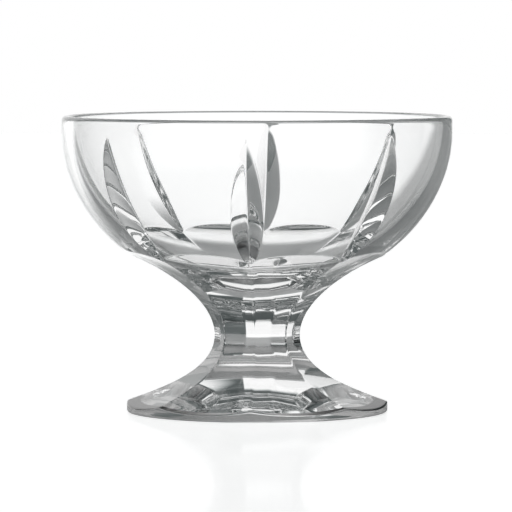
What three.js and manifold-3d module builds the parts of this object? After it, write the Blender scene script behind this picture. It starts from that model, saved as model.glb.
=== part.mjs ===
// A footed dessert bowl of clear glass: a round bowl with leaf cuts, a short eight-sided stem and a round
// foot. Sizes are in mm. The foot stands on z = 0 and the axis is +Z. The leaf cuts run down to the ridges
// of the stem, and one leaf with its ridge faces -Y.
import * as THREE from 'three';
import { mergeVertices } from 'three/addons/utils/BufferGeometryUtils.js';
import Module from 'manifold-3d';

const wasm = await Module();
wasm.setup();

const sideCount = 8; // flats round the stem, and leaves above the ridges between them

// Bowl
const rimRadius = 62.5;
const rimWall = 3;
const bowlHeight = 42.8; // from the shoulder, where the flats of the stem run out, up to the rim
const rimStraight = 4.6; // upright part of the wall under the rim
const shoulderRadius = 43.1;
const shoulderZ = 52;
const neckDrop = 6; // from the shoulder down to where only the flats shape the glass
const floorGlass = 11.5; // from the top of the stem up to the deepest point inside
const dishDrop = 1.4; // from the middle of the lip down to where the inside starts to round in

// Flats of the stem
const waistFlats = 25.6; // across the flats at the narrowest point
const waistZ = 24.5;
const cornerRadius = 2; // of the rounded ridges between the flats
const upperPull = 13.2; // how far the flats run upright from the waist before they flare to the bowl
const upperReach = 10.3; // how far they run straight before they meet the bowl
const upperSlope = 16; // degrees above level, where they meet the bowl
const lowerPull = 12.9; // the same three, from the waist down to the foot
const lowerReach = 10;
const lowerSlope = 24;
const stemRise = 6.5; // from the waist to the seam with the bowl
const stemFall = 6.5; // from the waist to the seam with the foot

// Foot
const footRadius = 41.75;
const footEdge = 2.1; // thickness of the edge at the middle of a flat
const edgeRound = 0.8;
const standRing = 5; // width of the flat ring that the cup stands on
const recessDepth = 1.6; // of the dished underside

// Leaf cuts, each a V-shaped groove
const leafWidth = 10.2;
const leafDepth = 3.2;
const leafCurl = 1.15; // how the sides steepen towards the valley; at 1 they are straight
const leafTopDrop = 0.6; // from the upright part of the wall down to the top of a leaf
const leafTipDrop = 4.4; // from the shoulder down to the point of a leaf
const leafWidest = 0.56; // of the leaf's length, from its top
const leafTopPower = 0.8; // of the depth's share, that gives the width's share in the upper part
const leafTipPower = 1.8; // fullness of the pointed end
const leafEnd = 0.2; // half the width of a leaf at its very ends

// How finely the curves are divided
const roundSteps = 64;
const profileSteps = 10;
const cornerSteps = 3;
const leafSteps = 16;
const leafRowPower = 1.3; // gathers the rows of a leaf towards its top
const plainSteps = 6; // across the plain wall between two leaves
const leafSides = 4; // steps across one leaf, two on each side of its valley
const lipSteps = 6;
const halvings = 40; // when a point of a curve is searched for
const weldDistance = 1e-5;
const spare = 4; // by which a trimming shape runs past what it trims

// Values that follow
const radians = THREE.MathUtils.degToRad;
const sideStep = (2 * Math.PI) / sideCount;
const height = shoulderZ + bowlHeight;
const bellyZ = height - rimStraight;
const bellyDrop = (bellyZ - shoulderZ) / Math.sqrt(1 - (shoulderRadius / rimRadius) ** 2);
const mouthRadius = rimRadius - rimWall;
const stemTopZ = waistZ + stemRise;
const stemBottomZ = waistZ - stemFall;

// Point on the outside of the bowl, at an angle below the belly
const onBowl = (angle) =>
  new THREE.Vector2(rimRadius * Math.cos(angle), bellyZ - bellyDrop * Math.sin(angle));
const bowlAngleAt = (z) => Math.asin((bellyZ - z) / bellyDrop);
const bowlNormal = (angle) =>
  new THREE.Vector2(Math.cos(angle) / rimRadius, -Math.sin(angle) / bellyDrop).normalize();

// Curve that leaves the waist upright and arrives at an end point with a slope
function flareCurve(waistRadius, pull, end, reach, slope) {
  const up = Math.sign(end.y - waistZ);
  const start = new THREE.Vector2(waistRadius, waistZ);
  const pulled = new THREE.Vector2(waistRadius, waistZ + up * pull);
  const arriving = new THREE.Vector2(end.x - reach * Math.cos(slope), end.y - up * reach * Math.sin(slope));
  return new THREE.CubicBezierCurve(start, pulled, arriving, end);
}

const shoulder = new THREE.Vector2(shoulderRadius, shoulderZ);
const footCorner = new THREE.Vector2(footRadius, footEdge);
const upperFlat = flareCurve(waistFlats / 2, upperPull, shoulder, upperReach, radians(upperSlope));
const lowerFlat = flareCurve(waistFlats / 2, lowerPull, footCorner, lowerReach, radians(lowerSlope));

// Parameter at which a curve reaches a height, found by halving
function curveAtZ(curve, z) {
  const rising = curve.v3.y > curve.v0.y;
  let low = 0;
  let high = 1;
  for (let i = 0; i < halvings; i += 1) {
    const middle = (low + high) / 2;
    if (curve.getPoint(middle).y < z === rising) low = middle;
    else high = middle;
  }
  return low;
}

// Points of a curve between two heights, with the heights themselves exact
function curveBetween(curve, fromZ, toZ, steps) {
  const from = curveAtZ(curve, fromZ);
  const to = curveAtZ(curve, toZ);
  const points = [];
  for (let i = 0; i <= steps; i += 1) points.push(curve.getPoint(from + ((to - from) * i) / steps));
  points[0].y = fromZ;
  points[steps].y = toZ;
  return points;
}

// Ring of an eight-sided section with rounded corners, counter-clockwise from above
function flatRing({ x: apothem, y: z }) {
  const ring = [];
  const cornerDistance = (apothem - cornerRadius) / Math.cos(sideStep / 2);
  for (let side = 0; side < sideCount; side += 1) {
    const flatAngle = (side + 1 / 2) * sideStep - Math.PI / 2;
    const cornerAngle = flatAngle + sideStep / 2;
    for (let i = 0; i <= cornerSteps; i += 1) {
      const angle = flatAngle + (sideStep * i) / cornerSteps;
      const x = cornerDistance * Math.cos(cornerAngle) + cornerRadius * Math.cos(angle);
      const y = cornerDistance * Math.sin(cornerAngle) + cornerRadius * Math.sin(angle);
      ring.push(new THREE.Vector3(x, y, z));
    }
  }
  return ring;
}

// Closed solid through rings of equal count, with a flat cap at each end
function loft(rings) {
  const count = rings[0].length;
  const points = rings.flat();
  const faces = [];
  for (let i = 0; i + 1 < rings.length; i += 1) {
    for (let j = 0; j < count; j += 1) {
      const a = i * count + j;
      const b = i * count + ((j + 1) % count);
      faces.push(a, b, b + count, a, b + count, a + count);
    }
  }
  const last = (rings.length - 1) * count;
  for (let j = 1; j + 1 < count; j += 1) {
    faces.push(0, j + 1, j, last, last + j, last + j + 1);
  }
  const geometry = new THREE.BufferGeometry().setFromPoints(points);
  geometry.setIndex(faces);
  return geometry;
}

// Solid of revolution about +Z from points of radius and height
function turned(points) {
  return new THREE.LatheGeometry(points, roundSteps).rotateX(Math.PI / 2);
}

// Solid for cutting, from a closed geometry
function solid(geometry) {
  geometry.deleteAttribute('normal');
  geometry.deleteAttribute('uv');
  const welded = mergeVertices(geometry, weldDistance);
  const corners = welded.index.array;
  const faces = [];
  for (let i = 0; i < corners.length; i += 3) {
    const [a, b, c] = corners.slice(i, i + 3);
    if (a !== b && b !== c && c !== a) faces.push(a, b, c);
  }
  const vertProperties = new Float32Array(welded.attributes.position.array);
  return new wasm.Manifold(new wasm.Mesh({ numProp: 3, vertProperties, triVerts: new Uint32Array(faces) }));
}

function geometryOf(manifold) {
  const mesh = manifold.getMesh();
  const geometry = new THREE.BufferGeometry();
  geometry.setAttribute('position', new THREE.BufferAttribute(mesh.vertProperties, 3));
  geometry.setIndex(new THREE.BufferAttribute(mesh.triVerts, 1));
  geometry.computeVertexNormals();
  return geometry;
}

// Shares of the full width and depth that a leaf has along its length, between its two ends
function leafShares(along) {
  const isAbove = along < leafWidest;
  const fromWidest = isAbove ? 1 - along / leafWidest : (along - leafWidest) / (1 - leafWidest);
  const depth = 1 - fromWidest ** 2;
  const width = isAbove ? depth ** leafTopPower : 1 - fromWidest ** leafTipPower;
  return { width, depth };
}

// Ring of the bowl, counter-clockwise from above. Each leaf has a valley, two sides and two lips, and is
// followed by a stretch of plain wall. With no leaf, the points are evenly spaced.
function bowlRing({ x: radius, y: z }, half = 0, depth = 0, normal = new THREE.Vector2(1, 0)) {
  const ring = [];
  const evenAngle = (sideStep * leafSides) / 2 / (plainSteps + leafSides);
  const lipAngle = half > 0 ? Math.asin(half / radius) : evenAngle;
  const plainAngle = sideStep - 2 * lipAngle;
  const halfwaySunk = (1 / 2) ** leafCurl;
  for (let leaf = 0; leaf < sideCount; leaf += 1) {
    const middle = leaf * sideStep - Math.PI / 2;
    const add = (turn, sunk) => {
      const r = radius - sunk * depth * normal.x;
      const angle = middle + turn;
      ring.push(new THREE.Vector3(r * Math.cos(angle), r * Math.sin(angle), z - sunk * depth * normal.y));
    };
    add(0, 1);
    add(lipAngle / 2, halfwaySunk);
    for (let i = 0; i <= plainSteps; i += 1) add(lipAngle + (plainAngle * i) / plainSteps, 0);
    add(sideStep - lipAngle / 2, halfwaySunk);
  }
  return ring;
}

// Round blank of the bowl with its leaves: neck, wall, lip and dished inside
function bowlBlank() {
  const neckAngle = bowlAngleAt(shoulderZ - neckDrop);
  const neckRadius = onBowl(neckAngle).x;
  const rings = [bowlRing(new THREE.Vector2(neckRadius, stemTopZ)), bowlRing(onBowl(neckAngle))];

  const topAngle = bowlAngleAt(bellyZ - leafTopDrop);
  const tipAngle = bowlAngleAt(shoulderZ - leafTipDrop);
  for (let i = leafSteps; i >= 0; i -= 1) {
    const along = (i / leafSteps) ** leafRowPower;
    const angle = topAngle + (tipAngle - topAngle) * along;
    const { width, depth } = leafShares(along);
    const half = Math.max((width * leafWidth) / 2, leafEnd);
    rings.push(bowlRing(onBowl(angle), half, depth * leafDepth, bowlNormal(angle)));
  }
  rings.push(bowlRing(onBowl(0), leafEnd));

  const lipRadius = rimWall / 2;
  const lipZ = height - lipRadius;
  for (let i = 0; i <= lipSteps; i += 1) {
    const angle = (Math.PI * i) / lipSteps;
    const lip = new THREE.Vector2(Math.cos(angle), Math.sin(angle)).multiplyScalar(lipRadius);
    rings.push(bowlRing(lip.add(new THREE.Vector2(rimRadius - lipRadius, lipZ))));
  }

  const dishZ = lipZ - dishDrop;
  const dishDepth = dishZ - stemTopZ - floorGlass;
  for (let i = profileSteps; i > 0; i -= 1) {
    const angle = (Math.PI / 2) * (i / profileSteps);
    const z = dishZ - dishDepth * Math.cos(angle);
    rings.push(bowlRing(new THREE.Vector2(mouthRadius * Math.sin(angle), z)));
  }
  return loft(rings);
}

// Flats that trim the blank of the bowl. Past the shoulder they run straight on, outside the bowl.
function bowlFlats() {
  const profile = curveBetween(upperFlat, stemTopZ, shoulderZ, profileSteps);
  const outside = (rimRadius + spare) / Math.cos(sideStep / 2);
  const outsideZ = shoulderZ + (outside - shoulderRadius) * Math.tan(radians(upperSlope));
  profile.unshift(new THREE.Vector2(profile[0].x, stemTopZ - spare));
  profile.push(new THREE.Vector2(outside, outsideZ));
  profile.push(new THREE.Vector2(outside, Math.max(outsideZ, height) + spare));
  return loft(profile.map(flatRing));
}

function bowl() {
  return geometryOf(solid(bowlBlank()).intersect(solid(bowlFlats())));
}

function stem() {
  const lower = curveBetween(lowerFlat, stemBottomZ, waistZ, profileSteps / 2);
  const upper = curveBetween(upperFlat, waistZ, stemTopZ, profileSteps / 2);
  return geometryOf(solid(loft([...lower, ...upper.slice(1)].map(flatRing))));
}

// Round disc with a dished underside, trimmed by the flats
function foot() {
  const standRadius = footRadius - edgeRound;
  const recessRadius = standRadius - standRing;
  const dishRadius = (recessRadius ** 2 + recessDepth ** 2) / (2 * recessDepth);
  const dishAngle = Math.asin(recessRadius / dishRadius);
  const blank = [];
  for (let i = 0; i <= profileSteps / 2; i += 1) {
    const angle = (dishAngle * i) / (profileSteps / 2);
    const z = recessDepth - dishRadius * (1 - Math.cos(angle));
    blank.push(new THREE.Vector2(dishRadius * Math.sin(angle), z));
  }
  blank[blank.length - 1].y = 0;
  for (let i = 0; i <= lipSteps / 2; i += 1) {
    const angle = (Math.PI * i) / lipSteps;
    const r = standRadius + edgeRound * Math.sin(angle);
    blank.push(new THREE.Vector2(r, edgeRound * (1 - Math.cos(angle))));
  }
  blank.push(new THREE.Vector2(footRadius, stemBottomZ));
  blank.push(new THREE.Vector2(0, stemBottomZ));

  const profile = curveBetween(lowerFlat, footEdge, stemBottomZ, profileSteps);
  profile.unshift(new THREE.Vector2(footRadius + spare, -spare), new THREE.Vector2(footRadius + spare, 0));
  profile.push(new THREE.Vector2(profile[profile.length - 1].x, stemBottomZ + spare));
  return geometryOf(solid(turned(blank)).intersect(solid(loft(profile.map(flatRing)))));
}

const cup = new THREE.Group();
cup.name = 'dessert_cup';
const parts = { bowl: bowl(), stem: stem(), foot: foot() };
for (const [name, geometry] of Object.entries(parts)) {
  const glass = new THREE.MeshStandardMaterial({ color: 0xdde6e8, roughness: 0.05, metalness: 0 });
  const mesh = new THREE.Mesh(geometry, glass);
  mesh.name = name;
  cup.add(mesh);
}

export default cup;
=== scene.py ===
"""Looks of a clear glass dessert cup: a bowl with leaf cuts, a short stem of eight flats and a round foot.

The surface of the whole cup is one grid of points, worked out in mm from the sizes below and cut into three
pieces at the seams of the CAD model. One leaf, with the ridge of the stem below it, faces -Y.
"""
import math

import bpy
import numpy as np
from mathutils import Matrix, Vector


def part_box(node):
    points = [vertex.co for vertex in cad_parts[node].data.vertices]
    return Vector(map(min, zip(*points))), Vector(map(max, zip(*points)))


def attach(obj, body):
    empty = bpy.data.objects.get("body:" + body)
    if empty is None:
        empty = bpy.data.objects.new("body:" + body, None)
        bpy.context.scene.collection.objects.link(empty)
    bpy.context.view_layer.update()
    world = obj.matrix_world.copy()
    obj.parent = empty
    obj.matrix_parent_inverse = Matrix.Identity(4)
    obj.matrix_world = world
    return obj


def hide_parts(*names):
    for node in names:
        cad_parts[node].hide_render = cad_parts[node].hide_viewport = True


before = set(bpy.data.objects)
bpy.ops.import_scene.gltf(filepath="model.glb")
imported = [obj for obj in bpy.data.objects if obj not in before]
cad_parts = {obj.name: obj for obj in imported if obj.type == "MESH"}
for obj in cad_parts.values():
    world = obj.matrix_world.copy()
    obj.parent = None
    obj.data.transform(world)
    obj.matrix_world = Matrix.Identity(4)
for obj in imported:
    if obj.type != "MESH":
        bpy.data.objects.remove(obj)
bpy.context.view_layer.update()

MM = 0.001


def node_size(node):
    """Radius, bottom and top of a CAD node, in mm."""
    low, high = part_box(node)
    return high.x / MM, low.z / MM, high.z / MM


# Sizes from the frame, in mm
rim_radius, stem_top_z, height = node_size("bowl")
foot_radius, foot_z, stem_bottom_z = node_size("foot")

# Bowl
side_count = 8
rim_wall = 3.0
rim_straight = 4.6
shoulder_radius = 43.1
shoulder_z = 52.0
neck_drop = 6.0
floor_glass = 11.5
dish_drop = 1.4

# Flats of the stem
waist_flats = 25.6
waist_z = 24.5
corner_radius = 2.0
upper_pull = 13.2
upper_reach = 10.3
upper_slope = math.radians(16)
lower_pull = 12.9
lower_reach = 10.0
lower_slope = math.radians(24)

# Foot
foot_edge = 2.1
edge_round = 0.8
stand_ring = 5.0
recess_depth = 1.6

# Leaf cuts
leaf_width = 10.2
leaf_depth = 3.2
leaf_curl = 1.15
leaf_top_drop = 0.6
leaf_tip_drop = 4.4
leaf_widest = 0.56
leaf_top_power = 0.8
leaf_tip_power = 1.8

# How much the cut edges are rounded
valley_soft = 0.12
arch_soft = 0.5
foot_soft = 0.6

# How finely the surface is divided
leaf_columns = 10
plain_columns = 12
plain_spread = 1.9
least_lip = math.radians(1.2)
dish_rows = 48
lip_rows = 16
upright_rows = 4
wall_rows = 110
wall_spread = 1.3
flare_rows = 50
stem_rows = 24
foot_rows = 50
edge_rows = 8
ring_rows = 4
recess_rows = 16

# Rounds and steps of the sums
halving_rounds = 50
lip_rounds = 20
table_steps = 4000
carry_on = 20.0

# Glass
glass_ior = 1.5
glass_specular = 0.08
wave_scale = 60
wave_detail = 1
wave_strength = 0.06
wave_height = 0.3 * MM
wear_scale = 140
wear_detail = 3
wear_start = 0.4
wear_full = 0.8
wear_roughness = 0.015
light_bounces = 48

# White backdrop and front in a dim room. Sides are in degrees from +Y, and tops are heights on a ball of 1.
backdrop_left = 43
backdrop_right = 9
backdrop_soft = 5
backdrop_top_full = 0.485
backdrop_top_end = 0.645
side_light = 0.12
side_full = 75
side_end = 100
ceiling_light = 0.08
ceiling_start = 0.4
ceiling_full = 0.6
front_light = 0.95
front_start = 95
front_full = 135
room_light = 0.01
dim_tint = 1.06

# Floor, in m. The glass sees painted light and shade on it: a painted shadow that makes it dimmer near the
# cup, and a painted strip of light along Y.
floor_size = 6.0
floor_colour = 0.8
floor_dullness = 0.6
floor_glow = 0.91
floor_sheen = 0.3
floor_roughness = 0.08
# Painted shadow round the cup, seen only by the glass: full out to the first distance and gone at the second
painted_shadow_full = 0.12
painted_shadow_end = 0.3
# Painted strip of light on the floor along Y, and how narrow it is, seen only by the glass
painted_strip_light = 0.18
painted_strip_narrow = 6

# Camera, as the photograph was taken
camera_distance = 1437 * MM
camera_height = 131.6 * MM
camera_turn = math.radians(3.3)
camera_lens = 316
aim_side = -0.38 * MM
aim_height = 49.8 * MM

# Values that follow
half_side = math.pi / side_count
belly_z = height - rim_straight
belly_drop = (belly_z - shoulder_z) / math.sqrt(1 - (shoulder_radius / rim_radius) ** 2)
neck_z = shoulder_z - neck_drop
lip_radius = rim_wall / 2
lip_z = height - lip_radius
mouth_radius = rim_radius - rim_wall
dish_z = stem_top_z + floor_glass


def flare(pull, end_radius, end_z, reach, slope):
    """Four points of a curve that leaves the waist upright and arrives at an end point with a slope."""
    waist_radius = waist_flats / 2
    up = math.copysign(1, end_z - waist_z)
    return np.array([
        (waist_radius, waist_z),
        (waist_radius, waist_z + up * pull),
        (end_radius - reach * math.cos(slope), end_z - up * reach * math.sin(slope)),
        (end_radius, end_z),
    ])


def on_curve(curve, t):
    """Radius and height at parameter t of a curve of four points."""
    t = np.asarray(t)[..., None]
    point = (1 - t) ** 3 * curve[0] + 3 * t * (1 - t) ** 2 * curve[1]
    point = point + 3 * t * t * (1 - t) * curve[2] + t ** 3 * curve[3]
    return point[..., 0], point[..., 1]


def halving(is_past, low, high):
    """Where a test turns from false to true between two values, for each item of an array."""
    for _ in range(halving_rounds):
        middle = (low + high) / 2
        past = is_past(middle)
        low, high = np.where(past, low, middle), np.where(past, middle, high)
    return (low + high) / 2


def curve_at_z(curve, z):
    """Parameter at which a curve passes a height."""
    rising = curve[3, 1] > curve[0, 1]
    return float(halving(lambda t: (on_curve(curve, t)[1] > z) == rising, np.zeros(1), np.ones(1))[0])


def flats_at_z(curve, start, slope):
    """Function that gives half the width across the flats at a height, also past the end of their curve."""
    apothem, z = on_curve(curve, np.linspace(start, 1, table_steps))
    up = math.copysign(1, z[-1] - z[0])
    apothem = np.append(apothem, apothem[-1] + carry_on)
    z = np.append(z, z[-1] + up * carry_on * math.tan(slope))
    return lambda level: np.interp(up * level, up * z, apothem)


upper_flat = flare(upper_pull, shoulder_radius, shoulder_z, upper_reach, upper_slope)
lower_flat = flare(lower_pull, foot_radius, foot_z + foot_edge, lower_reach, lower_slope)
neck_t = curve_at_z(upper_flat, neck_z)
seam_t = curve_at_z(upper_flat, stem_top_z)
foot_seam_t = curve_at_z(lower_flat, stem_bottom_z)
upper_flats_at = flats_at_z(upper_flat, neck_t, upper_slope)
lower_flats_at = flats_at_z(lower_flat, 0, lower_slope)


def flat_radius(turn, apothem):
    """Distance from the axis to an eight-sided section with rounded corners, at an angle from a corner."""
    corner = (apothem - corner_radius) / math.cos(half_side)
    round_end = corner + corner_radius * math.cos(half_side)
    rounded_to = np.arctan2(corner_radius * math.sin(half_side), round_end)
    inside = np.maximum(corner_radius ** 2 - (corner * np.sin(turn)) ** 2, 0)
    rounded = corner * np.cos(turn) + np.sqrt(inside)
    return np.where(turn < rounded_to, rounded, apothem / np.cos(half_side - turn))


def bowl_radius(z):
    """Radius of the outside of the bowl, without its cuts, at a height."""
    return rim_radius * np.sqrt(np.maximum(1 - ((belly_z - z) / belly_drop) ** 2, 0))


def softened(gap, soft):
    """How far the meeting of two surfaces is rounded off, by the gap that is left between them."""
    return np.maximum(soft - np.maximum(gap, 0), 0) ** 2 / (4 * soft)


def arch_t(turn):
    """Parameter of the upper flats at which they meet the bowl."""
    def outside_bowl(t):
        apothem, z = on_curve(upper_flat, t)
        return flat_radius(turn, apothem) > bowl_radius(z)
    return halving(outside_bowl, np.full(turn.shape, neck_t), np.ones(turn.shape))


def arch_angle(turn):
    """Angle below the belly at which the bowl meets the flats."""
    return np.arcsin((belly_z - on_curve(upper_flat, arch_t(turn))[1]) / belly_drop)


def leaf(below):
    """Half the width and the depth of a leaf at an angle below the belly."""
    top = math.asin(leaf_top_drop / belly_drop)
    tip = math.asin((belly_z - shoulder_z + leaf_tip_drop) / belly_drop)
    along = np.clip((below - top) / (tip - top), 0, 1)
    above = along < leaf_widest
    from_widest = np.where(above, 1 - along / leaf_widest, (along - leaf_widest) / (1 - leaf_widest))
    share = 1 - from_widest ** 2
    width = np.where(above, share ** leaf_top_power, 1 - from_widest ** leaf_tip_power)
    return width * leaf_width / 2, share * leaf_depth


def columns(lip):
    """Angles from the middle of a leaf, by way of its lip, to the middle of the plain wall, for each row."""
    lip = np.atleast_1d(lip)[:, None]
    near = lip * (1 - np.cos(np.pi * np.arange(leaf_columns) / leaf_columns)) / 2
    far = lip + (half_side - lip) * (np.arange(plain_columns + 1) / plain_columns) ** plain_spread
    return np.hstack([near, far])


plain = columns(least_lip)


def turned(radius, z):
    """Rows of a surface of revolution."""
    radius, z = np.broadcast_arrays(np.atleast_1d(radius), np.atleast_1d(z))
    shape = (len(radius), plain.shape[1])
    rows = (plain, radius[:, None], z[:, None])
    return np.stack([np.broadcast_to(values, shape) for values in rows])


def steps(count):
    """Shares of a stretch, without its start."""
    return np.arange(1, count + 1) / count


def dish():
    """Inside of the bowl, half an ellipse below an upright part."""
    top_z = lip_z - dish_drop
    angle = math.pi / 2 * steps(dish_rows)
    return turned(mouth_radius * np.sin(angle), top_z - (top_z - dish_z) * np.cos(angle))


def lip():
    """Rounded lip, from the inside to the outside."""
    angle = math.pi * (1 - steps(lip_rows))
    return turned(rim_radius - lip_radius + lip_radius * np.cos(angle), lip_z + lip_radius * np.sin(angle))


def upright():
    """Upright part of the outside, below the lip."""
    return turned(rim_radius, lip_z + (belly_z - lip_z) * steps(upright_rows))


def wall():
    """Outside of the bowl with its leaf cuts, down to the flats."""
    share = steps(wall_rows) ** wall_spread
    lip_turn = np.full(wall_rows, least_lip)
    for _ in range(lip_rounds):
        below = share * arch_angle(lip_turn)
        lip_turn = np.maximum(np.arcsin(leaf(below)[0] / (rim_radius * np.cos(below))), least_lip)
    turn = columns(lip_turn)
    below = share[:, None] * arch_angle(turn)
    radius, z = rim_radius * np.cos(below), belly_z - belly_drop * np.sin(below)
    normal = np.stack([np.cos(below) / rim_radius, -np.sin(below) / belly_drop])
    normal /= np.hypot(*normal)

    half, depth = leaf(below)
    across = np.hypot(radius * np.sin(turn), valley_soft)
    sunk = depth * np.clip(1 - across / np.maximum(half, valley_soft), 0, 1) ** leaf_curl
    radius, z = radius - sunk * normal[0], z - sunk * normal[1]

    gap = flat_radius(turn, upper_flats_at(z)) - radius
    return np.stack([turn, radius - softened(gap, arch_soft), z])


def flats(curve, start, end, rows):
    """Rows down the flats, between two parameters of their curve for each column."""
    t = start + (end - start) * steps(rows)[:, None]
    apothem, z = on_curve(curve, t)
    turn = np.broadcast_to(plain, t.shape)
    return np.stack([turn, flat_radius(turn, apothem), z])


def bowl_flats():
    """Flats below the bowl, down to the stem."""
    rows = flats(upper_flat, arch_t(plain), np.full(plain.shape, seam_t), flare_rows)
    rows[1] -= softened(bowl_radius(rows[2]) - rows[1], arch_soft) * (rows[2] > neck_z)
    return rows


def stem_flats():
    """Flats of the stem, above and below the waist."""
    half = stem_rows // 2
    waist = np.zeros(plain.shape)
    upper = flats(upper_flat, np.full(plain.shape, seam_t), waist, half)
    lower = flats(lower_flat, waist, np.full(plain.shape, foot_seam_t), half)
    return np.concatenate([upper, lower], axis=1)


def foot_surface():
    """Flats of the foot, its edge, its standing ring and the recess below."""
    def outside_foot(t):
        return flat_radius(plain, on_curve(lower_flat, t)[0]) > foot_radius
    edge_t = halving(outside_foot, np.zeros(plain.shape), np.ones(plain.shape))
    top = flats(lower_flat, np.full(plain.shape, foot_seam_t), edge_t, foot_rows)
    top[1] -= softened(foot_radius - top[1], foot_soft)

    edge_z = top[2][-1]
    z = edge_z + (foot_z + edge_round - edge_z) * steps(edge_rows)[:, None]
    edge = np.stack([np.broadcast_to(plain, z.shape), np.full(z.shape, foot_radius), z])
    edge[1] -= softened(flat_radius(edge[0], lower_flats_at(z)) - foot_radius, foot_soft)

    angle = math.pi / 2 * steps(edge_rows)
    stand_radius = foot_radius - edge_round
    rounded = turned(stand_radius + edge_round * np.cos(angle), foot_z + edge_round * (1 - np.sin(angle)))
    recess_radius = stand_radius - stand_ring
    ring = turned(stand_radius - stand_ring * steps(ring_rows), foot_z)
    ball = (recess_radius ** 2 + recess_depth ** 2) / (2 * recess_depth)
    angle = math.asin(recess_radius / ball) * (1 - steps(recess_rows)[:-1])
    recess = turned(ball * np.sin(angle), foot_z + recess_depth - ball * (1 - np.cos(angle)))
    return np.concatenate([top, edge, rounded, ring, recess], axis=1)


def all_round(rows):
    """Points of every column round the axis, from the rows of half a side."""
    turn, radius, z = rows
    turn = np.hstack([-turn[:, :0:-1], turn[:, :-1]])
    radius = np.hstack([radius[:, :0:-1], radius[:, :-1]])
    z = np.hstack([z[:, :0:-1], z[:, :-1]])
    angle = np.hstack([turn + side * 2 * half_side - math.pi / 2 for side in range(side_count)])
    radius = np.tile(radius, side_count)
    return np.stack([radius * np.cos(angle), radius * np.sin(angle), np.tile(z, side_count)], axis=-1)


bowl_part = np.concatenate([dish(), lip(), upright(), wall(), bowl_flats()], axis=1)
stem_part = stem_flats()
foot_part = foot_surface()
surface = all_round(np.concatenate([bowl_part, stem_part, foot_part], axis=1))
bowl_seam = bowl_part.shape[1] - 1
stem_seam = bowl_seam + stem_part.shape[1]
last_row = len(surface) - 1


def surface_normals():
    """Smooth normals of the whole surface, so that the seams between the pieces don't show."""
    east = np.roll(surface, -1, axis=1)
    face = np.cross(surface[1:] - east[:-1], east[1:] - surface[:-1])
    total = np.zeros_like(surface)
    total[:-1] += face + np.roll(face, 1, axis=1)
    total[1:] += face + np.roll(face, 1, axis=1)
    return total / np.linalg.norm(total, axis=2, keepdims=True)


normals = surface_normals()


def piece(name, first, last, start, end, materials):
    """Closed piece from the rows first to last. Each end is a point on the axis, or a flat seam across it."""
    count = surface.shape[1]
    points = list(surface[first:last + 1].reshape(-1, 3) * MM)
    point_normals = list(normals[first:last + 1].reshape(-1, 3))
    faces = []
    loop_normals = []
    seam_faces = []
    for row in range(last - first):
        for column in range(count):
            a = row * count + column
            b = row * count + (column + 1) % count
            faces.append((a, a + count, b + count, b))
    for face in faces:
        loop_normals.extend(point_normals[corner] for corner in face)
    for middle_z, row, up in ((start, 0, 1.0), (end, last - first, -1.0)):
        is_seam = middle_z is None
        if is_seam:
            middle_z = surface[first + row, 0, 2]
        points.append(np.array([0, 0, middle_z]) * MM)
        middle_normal = np.array([0, 0, up])
        for column in range(count):
            a = row * count + column
            b = row * count + (column + 1) % count
            corners = (a, b) if up > 0 else (b, a)
            if is_seam:
                seam_faces.append(len(faces))
                loop_normals.extend([middle_normal] * 3)
            else:
                loop_normals.extend([point_normals[corner] for corner in corners] + [middle_normal])
            faces.append((*corners, len(points) - 1))
    mesh = bpy.data.meshes.new(name)
    mesh.from_pydata([tuple(point) for point in points], [], faces)
    for material in materials:
        mesh.materials.append(material)
    material_index = np.zeros(len(faces), np.int32)
    material_index[seam_faces] = 1
    mesh.polygons.foreach_set("material_index", material_index)
    mesh.polygons.foreach_set("use_smooth", np.ones(len(faces), bool))
    mesh.normals_split_custom_set([tuple(normal) for normal in loop_normals])
    made = bpy.data.objects.new(name, mesh)
    bpy.context.scene.collection.objects.link(made)
    return made


def noise(tree, scale, detail):
    """Noise over the object."""
    place = tree.nodes.new("ShaderNodeTexCoord")
    node = tree.nodes.new("ShaderNodeTexNoise")
    node.inputs["Scale"].default_value = scale
    node.inputs["Detail"].default_value = detail
    tree.links.new(place.outputs["Object"], node.inputs["Vector"])
    return node.outputs["Fac"]


def glass_material():
    """Clear glass, slightly wavy as pressed glass is, with faint wear on its polish."""
    material = bpy.data.materials.new("clear_glass")
    material.use_nodes = True
    tree = material.node_tree
    shader = tree.nodes["Principled BSDF"]
    shader.inputs["Base Color"].default_value = (1, 1, 1, 1)
    shader.inputs["Specular IOR Level"].default_value = glass_specular
    shader.inputs["IOR"].default_value = glass_ior
    shader.inputs["Transmission Weight"].default_value = 1

    bump = tree.nodes.new("ShaderNodeBump")
    bump.inputs["Strength"].default_value = wave_strength
    bump.inputs["Distance"].default_value = wave_height
    tree.links.new(noise(tree, wave_scale, wave_detail), bump.inputs["Height"])
    tree.links.new(bump.outputs["Normal"], shader.inputs["Normal"])

    rough = tree.nodes.new("ShaderNodeMapRange")
    rough.inputs["From Min"].default_value = wear_start
    rough.inputs["From Max"].default_value = wear_full
    rough.inputs["To Max"].default_value = wear_roughness
    tree.links.new(noise(tree, wear_scale, wear_detail), rough.inputs["Value"])
    tree.links.new(rough.outputs["Result"], shader.inputs["Roughness"])
    return material


def seam_material():
    """Nothing to see, for the flat seams inside the glass."""
    material = bpy.data.materials.new("glass_seam")
    material.use_nodes = True
    shader = material.node_tree.nodes["Principled BSDF"]
    shader.inputs["Alpha"].default_value = 0
    return material


materials = [glass_material(), seam_material()]
pieces = {
    "bowl": piece("glass_bowl", 0, bowl_seam, dish_z, None, materials),
    "stem": piece("glass_stem", bowl_seam, stem_seam, None, None, materials),
    "foot": piece("glass_foot", stem_seam, last_row, None, foot_z + recess_depth, materials),
}
for node, made in pieces.items():
    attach(made, "root")
    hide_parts(node)


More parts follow.
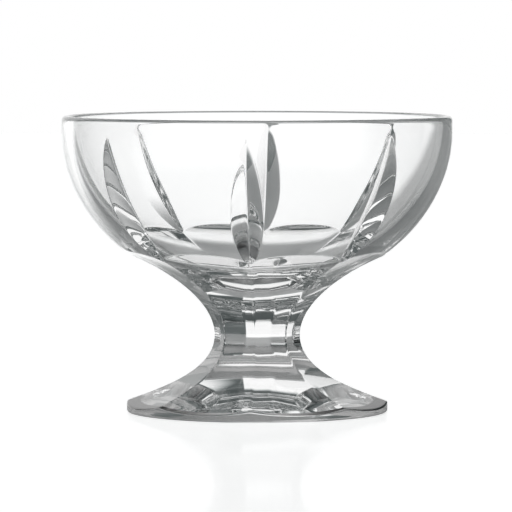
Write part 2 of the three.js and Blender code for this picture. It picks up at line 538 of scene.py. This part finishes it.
def math_node(tree, operation, first, second=None):
    """Result of a math node on sockets or numbers."""
    node = tree.nodes.new("ShaderNodeMath")
    node.operation = operation
    for socket, value in zip(node.inputs, (first, second)):
        if isinstance(value, bpy.types.NodeSocket):
            tree.links.new(value, socket)
        elif value is not None:
            socket.default_value = value
    return node.outputs[0]


def smooth(tree, value, start, end):
    """Share that goes smoothly from 0 to 1 while a value goes from start to end."""
    node = tree.nodes.new("ShaderNodeMapRange")
    node.interpolation_type = "SMOOTHSTEP"
    tree.links.new(value, node.inputs["Value"])
    node.inputs["From Min"].default_value = start
    node.inputs["From Max"].default_value = end
    return node.outputs["Result"]


def light_round(tree, x, y):
    """Light round the cup, behind it, at the sides and in front, in a direction, or painted on the floor at a
    spot on it.
    """
    aside = math_node(tree, "MULTIPLY", math_node(tree, "ARCTAN2", x, y), math.degrees(1))
    left = smooth(tree, aside, -backdrop_left - backdrop_soft, -backdrop_left)
    right = smooth(tree, aside, backdrop_right + backdrop_soft, backdrop_right)
    sides = smooth(tree, math_node(tree, "ABSOLUTE", aside), side_end, side_full)
    sides = math_node(tree, "MULTIPLY", sides, side_light)
    front = smooth(tree, math_node(tree, "ABSOLUTE", aside), front_start, front_full)
    front = math_node(tree, "MULTIPLY", front, front_light)
    light = math_node(tree, "MAXIMUM", math_node(tree, "MULTIPLY", left, right), sides)
    return math_node(tree, "MAXIMUM", light, front)


def cool(tree, light):
    """Colour of a level of light, white when it is full and cooler when it is dim."""
    node = tree.nodes.new("ShaderNodeCombineColor")
    tree.links.new(math_node(tree, "POWER", light, dim_tint), node.inputs["Red"])
    tree.links.new(light, node.inputs["Green"])
    tree.links.new(light, node.inputs["Blue"])
    return node.outputs["Color"]


def floor_glow_and_painted_light(tree):
    """How brightly the floor glows: evenly to the camera, and with painted light and shade to rays that come
    through the glass or off it.
    """
    place = tree.nodes.new("ShaderNodeNewGeometry")
    split = tree.nodes.new("ShaderNodeSeparateXYZ")
    tree.links.new(place.outputs["Position"], split.inputs[0])
    x, y, _ = split.outputs
    length = tree.nodes.new("ShaderNodeVectorMath")
    length.operation = "LENGTH"
    tree.links.new(place.outputs["Position"], length.inputs[0])
    distance = length.outputs["Value"]

    # Painted light round the cup on the floor, like the studio's, with a painted shadow that takes it away
    # near the cup
    far = math_node(tree, "MULTIPLY", light_round(tree, x, y), smooth(tree, distance, painted_shadow_full, painted_shadow_end))
    # Painted strip of light along Y, which shows near the cup where the painted shadow is
    along = math_node(tree, "ABSOLUTE", math_node(tree, "DIVIDE", y, distance))
    near = math_node(tree, "POWER", along, painted_strip_narrow)
    near = math_node(tree, "MULTIPLY", near, painted_strip_light)
    path = tree.nodes.new("ShaderNodeLightPath")
    by_glass = math_node(tree, "MAXIMUM", path.outputs["Is Transmission Ray"], path.outputs["Is Glossy Ray"])
    # Only rays through or off the glass see the painted light and shade; the camera sees the even glow
    painted_light_to_glass = math_node(tree, "MULTIPLY", by_glass, math_node(tree, "MAXIMUM", far, near))
    to_camera = math_node(tree, "MULTIPLY", path.outputs["Is Camera Ray"], floor_glow)
    return math_node(tree, "MAXIMUM", painted_light_to_glass, to_camera)


def floor_material():
    """White floor with a slight sheen. It glows evenly to the camera, and with painted light and a painted
    shadow to the glass.
    """
    material = bpy.data.materials.new("floor_white")
    material.use_nodes = True
    tree = material.node_tree
    white = tree.nodes["Principled BSDF"]
    white.inputs["Base Color"].default_value = (floor_colour, floor_colour, floor_colour, 1)
    white.inputs["Roughness"].default_value = floor_dullness
    white.inputs["Specular IOR Level"].default_value = 0
    white.inputs["Emission Color"].default_value = (1, 1, 1, 1)
    tree.links.new(floor_glow_and_painted_light(tree), white.inputs["Emission Strength"])
    sheen = tree.nodes.new("ShaderNodeBsdfGlossy")
    sheen.inputs["Roughness"].default_value = floor_roughness
    grazing = tree.nodes.new("ShaderNodeLayerWeight")
    mix = tree.nodes.new("ShaderNodeMixShader")
    tree.links.new(math_node(tree, "MULTIPLY", grazing.outputs["Fresnel"], floor_sheen), mix.inputs["Fac"])
    tree.links.new(white.outputs[0], mix.inputs[1])
    tree.links.new(sheen.outputs[0], mix.inputs[2])
    tree.links.new(mix.outputs[0], tree.nodes["Material Output"].inputs["Surface"])
    return material


def add_floor():
    """Plain floor under the cup."""
    reach = floor_size / 2
    corners = [(-reach, -reach, 0), (reach, -reach, 0), (reach, reach, 0), (-reach, reach, 0)]
    mesh = bpy.data.meshes.new("floor")
    mesh.from_pydata(corners, [], [(0, 1, 2, 3)])
    mesh.materials.append(floor_material())
    made = bpy.data.objects.new("floor", mesh)
    bpy.context.scene.collection.objects.link(made)


def add_camera():
    """Camera at the angle of the photograph, a little to the right of the leaf at -Y."""
    across = math.cos(camera_turn)
    along = math.sin(camera_turn)
    aim = Vector((aim_side * across, aim_side * along, aim_height))
    camera_data = bpy.data.cameras.new("camera")
    camera_data.lens = camera_lens
    camera = bpy.data.objects.new("camera", camera_data)
    camera.location = (camera_distance * along, -camera_distance * across, camera_height)
    camera.rotation_euler = (aim - camera.location).to_track_quat("-Z", "Y").to_euler()
    bpy.context.scene.collection.objects.link(camera)
    bpy.context.scene.camera = camera


def add_studio():
    """World of the studio: white behind the cup, in front of it and to the camera, dim elsewhere."""
    world = bpy.data.worlds.new("studio")
    bpy.context.scene.world = world
    world.use_nodes = True
    tree = world.node_tree
    direction = tree.nodes.new("ShaderNodeTexCoord")
    split = tree.nodes.new("ShaderNodeSeparateXYZ")
    tree.links.new(direction.outputs["Generated"], split.inputs[0])
    x, y, z = split.outputs
    below_top = smooth(tree, z, backdrop_top_end, backdrop_top_full)
    round_cup = math_node(tree, "MULTIPLY", light_round(tree, x, y), below_top)
    ceiling = math_node(tree, "MULTIPLY", smooth(tree, z, ceiling_start, ceiling_full), ceiling_light)
    light = math_node(tree, "MAXIMUM", round_cup, math_node(tree, "MAXIMUM", ceiling, room_light))
    path = tree.nodes.new("ShaderNodeLightPath")
    light = math_node(tree, "MAXIMUM", light, path.outputs["Is Camera Ray"])
    tree.links.new(cool(tree, light), tree.nodes["Background"].inputs["Color"])


add_floor()
add_camera()
add_studio()

# Light goes round inside the cut glass many times before it comes out
cycles = bpy.context.scene.cycles
cycles.max_bounces = light_bounces
cycles.glossy_bounces = light_bounces
cycles.transmission_bounces = light_bounces

bpy.context.scene.view_settings.view_transform = "Standard"
